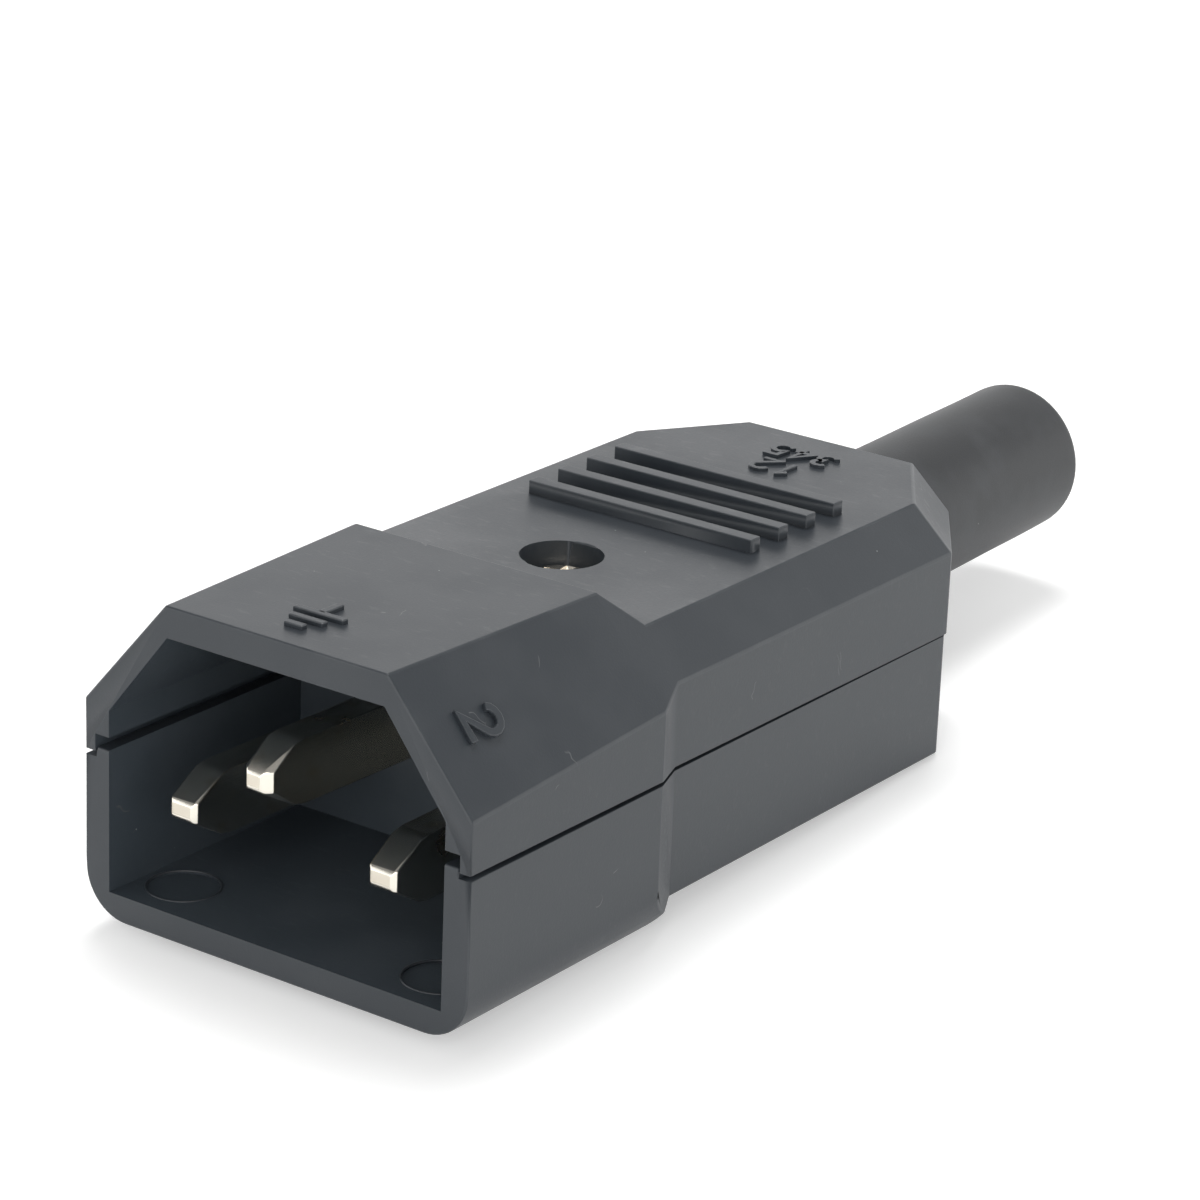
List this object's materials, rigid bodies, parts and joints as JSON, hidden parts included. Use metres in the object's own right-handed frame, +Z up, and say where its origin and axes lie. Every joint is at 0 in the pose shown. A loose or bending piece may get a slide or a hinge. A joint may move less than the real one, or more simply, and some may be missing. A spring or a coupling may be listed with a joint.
{
  "type": "rewirable appliance cable plug",
  "caption": "Black two-shell rewirable cable plug whose open shroud holds upright flat contact blades, with grip ribs, one cover screw and a round rubber cable sleeve.",
  "frame": {"origin": "centre of the whole part's bounding box, on the surface it stands on", "axes": "+Y from the mouth towards the cable end, along the plug; +Z up, from the shroud's flat base to its top flat; +X to the right seen from the mouth's side looking along +Y"},
  "size_m": [0.0278, 0.0802, 0.0203],
  "materials": {
    "shell": "fine matte moulded black",
    "blade": "nickel-plated, lightly worn",
    "plate": "plain",
    "screw": "zinc-plated",
    "plated_screw": "nickel-plated, warm",
    "clamp": "moulded black",
    "sleeve": "matte soft black"
  },
  "bodies": {
    "base": {"bottom_shell": "shell", "line_blade": "blade", "neutral_blade": "blade", "earth_blade": "blade", "cover_nut": "screw", "cable_sleeve": "sleeve"},
    "cover": {"top_shell": "shell"},
    "cover_screw": {"cover_screw": "plated_screw"},
    "line_plate": {"line_plate": "plate"},
    "neutral_plate": {"neutral_plate": "plate"},
    "earth_plate": {"earth_plate": "plate"},
    "line_screw": {"line_screw": "screw"},
    "neutral_screw": {"neutral_screw": "screw"},
    "earth_screw": {"earth_screw": "screw"},
    "cord_clamp": {"cord_clamp": "clamp"},
    "clamp_screw_left": {"clamp_screw_left": "screw"},
    "clamp_screw_right": {"clamp_screw_right": "screw"}
  },
  "joints": [
    {"name": "cover_lift", "type": "slide", "parent": "base", "child": "cover", "axis": [0, 0, 1], "range_m": [0, 0.03]},
    {"name": "cover_screw_turn", "type": "hinge", "parent": "cover", "child": "cover_screw", "pos_m": [0, -0.0131, 0.016], "axis": [0, 0, 1], "continuous": true},
    {"name": "line_plate_lift", "type": "slide", "parent": "base", "child": "line_plate", "axis": [0, 0, 1], "range_m": [0, 0.002]},
    {"name": "line_screw_turn", "type": "hinge", "parent": "line_plate", "child": "line_screw", "pos_m": [-0.008, -0.0149, 0.01], "axis": [0, 0, 1], "range_deg": [0, 1441]},
    {"name": "neutral_plate_lift", "type": "slide", "parent": "base", "child": "neutral_plate", "axis": [0, 0, 1], "range_m": [0, 0.002]},
    {"name": "neutral_screw_turn", "type": "hinge", "parent": "neutral_plate", "child": "neutral_screw", "pos_m": [0.008, -0.0149, 0.01], "axis": [0, 0, 1], "range_deg": [0, 1441]},
    {"name": "earth_plate_lift", "type": "slide", "parent": "base", "child": "earth_plate", "axis": [0, 0, 1], "range_m": [0, 0.002]},
    {"name": "earth_screw_turn", "type": "hinge", "parent": "earth_plate", "child": "earth_screw", "pos_m": [0, -0.0051, 0.01], "axis": [0, 0, 1], "range_deg": [0, 1441]},
    {"name": "cord_clamp_lift", "type": "slide", "parent": "base", "child": "cord_clamp", "axis": [0, 0, 1], "range_m": [0, 0.0024]},
    {"name": "clamp_screw_left_turn", "type": "hinge", "parent": "cord_clamp", "child": "clamp_screw_left", "pos_m": [-0.0076, 0.0025, 0.011], "axis": [0, 0, 1], "range_deg": [0, 1729]},
    {"name": "clamp_screw_right_turn", "type": "hinge", "parent": "cord_clamp", "child": "clamp_screw_right", "pos_m": [0.0076, 0.0025, 0.011], "axis": [0, 0, 1], "range_deg": [0, 1729]}
  ],
  "couplings": [
    {"joint": "line_screw_turn", "follows": "line_plate_lift", "rad_per_m": 12566},
    {"joint": "neutral_screw_turn", "follows": "neutral_plate_lift", "rad_per_m": 12566},
    {"joint": "earth_screw_turn", "follows": "earth_plate_lift", "rad_per_m": 12566},
    {"joint": "clamp_screw_left_turn", "follows": "cord_clamp_lift", "rad_per_m": 12566},
    {"joint": "clamp_screw_right_turn", "follows": "cord_clamp_lift", "rad_per_m": 12566}
  ]
}
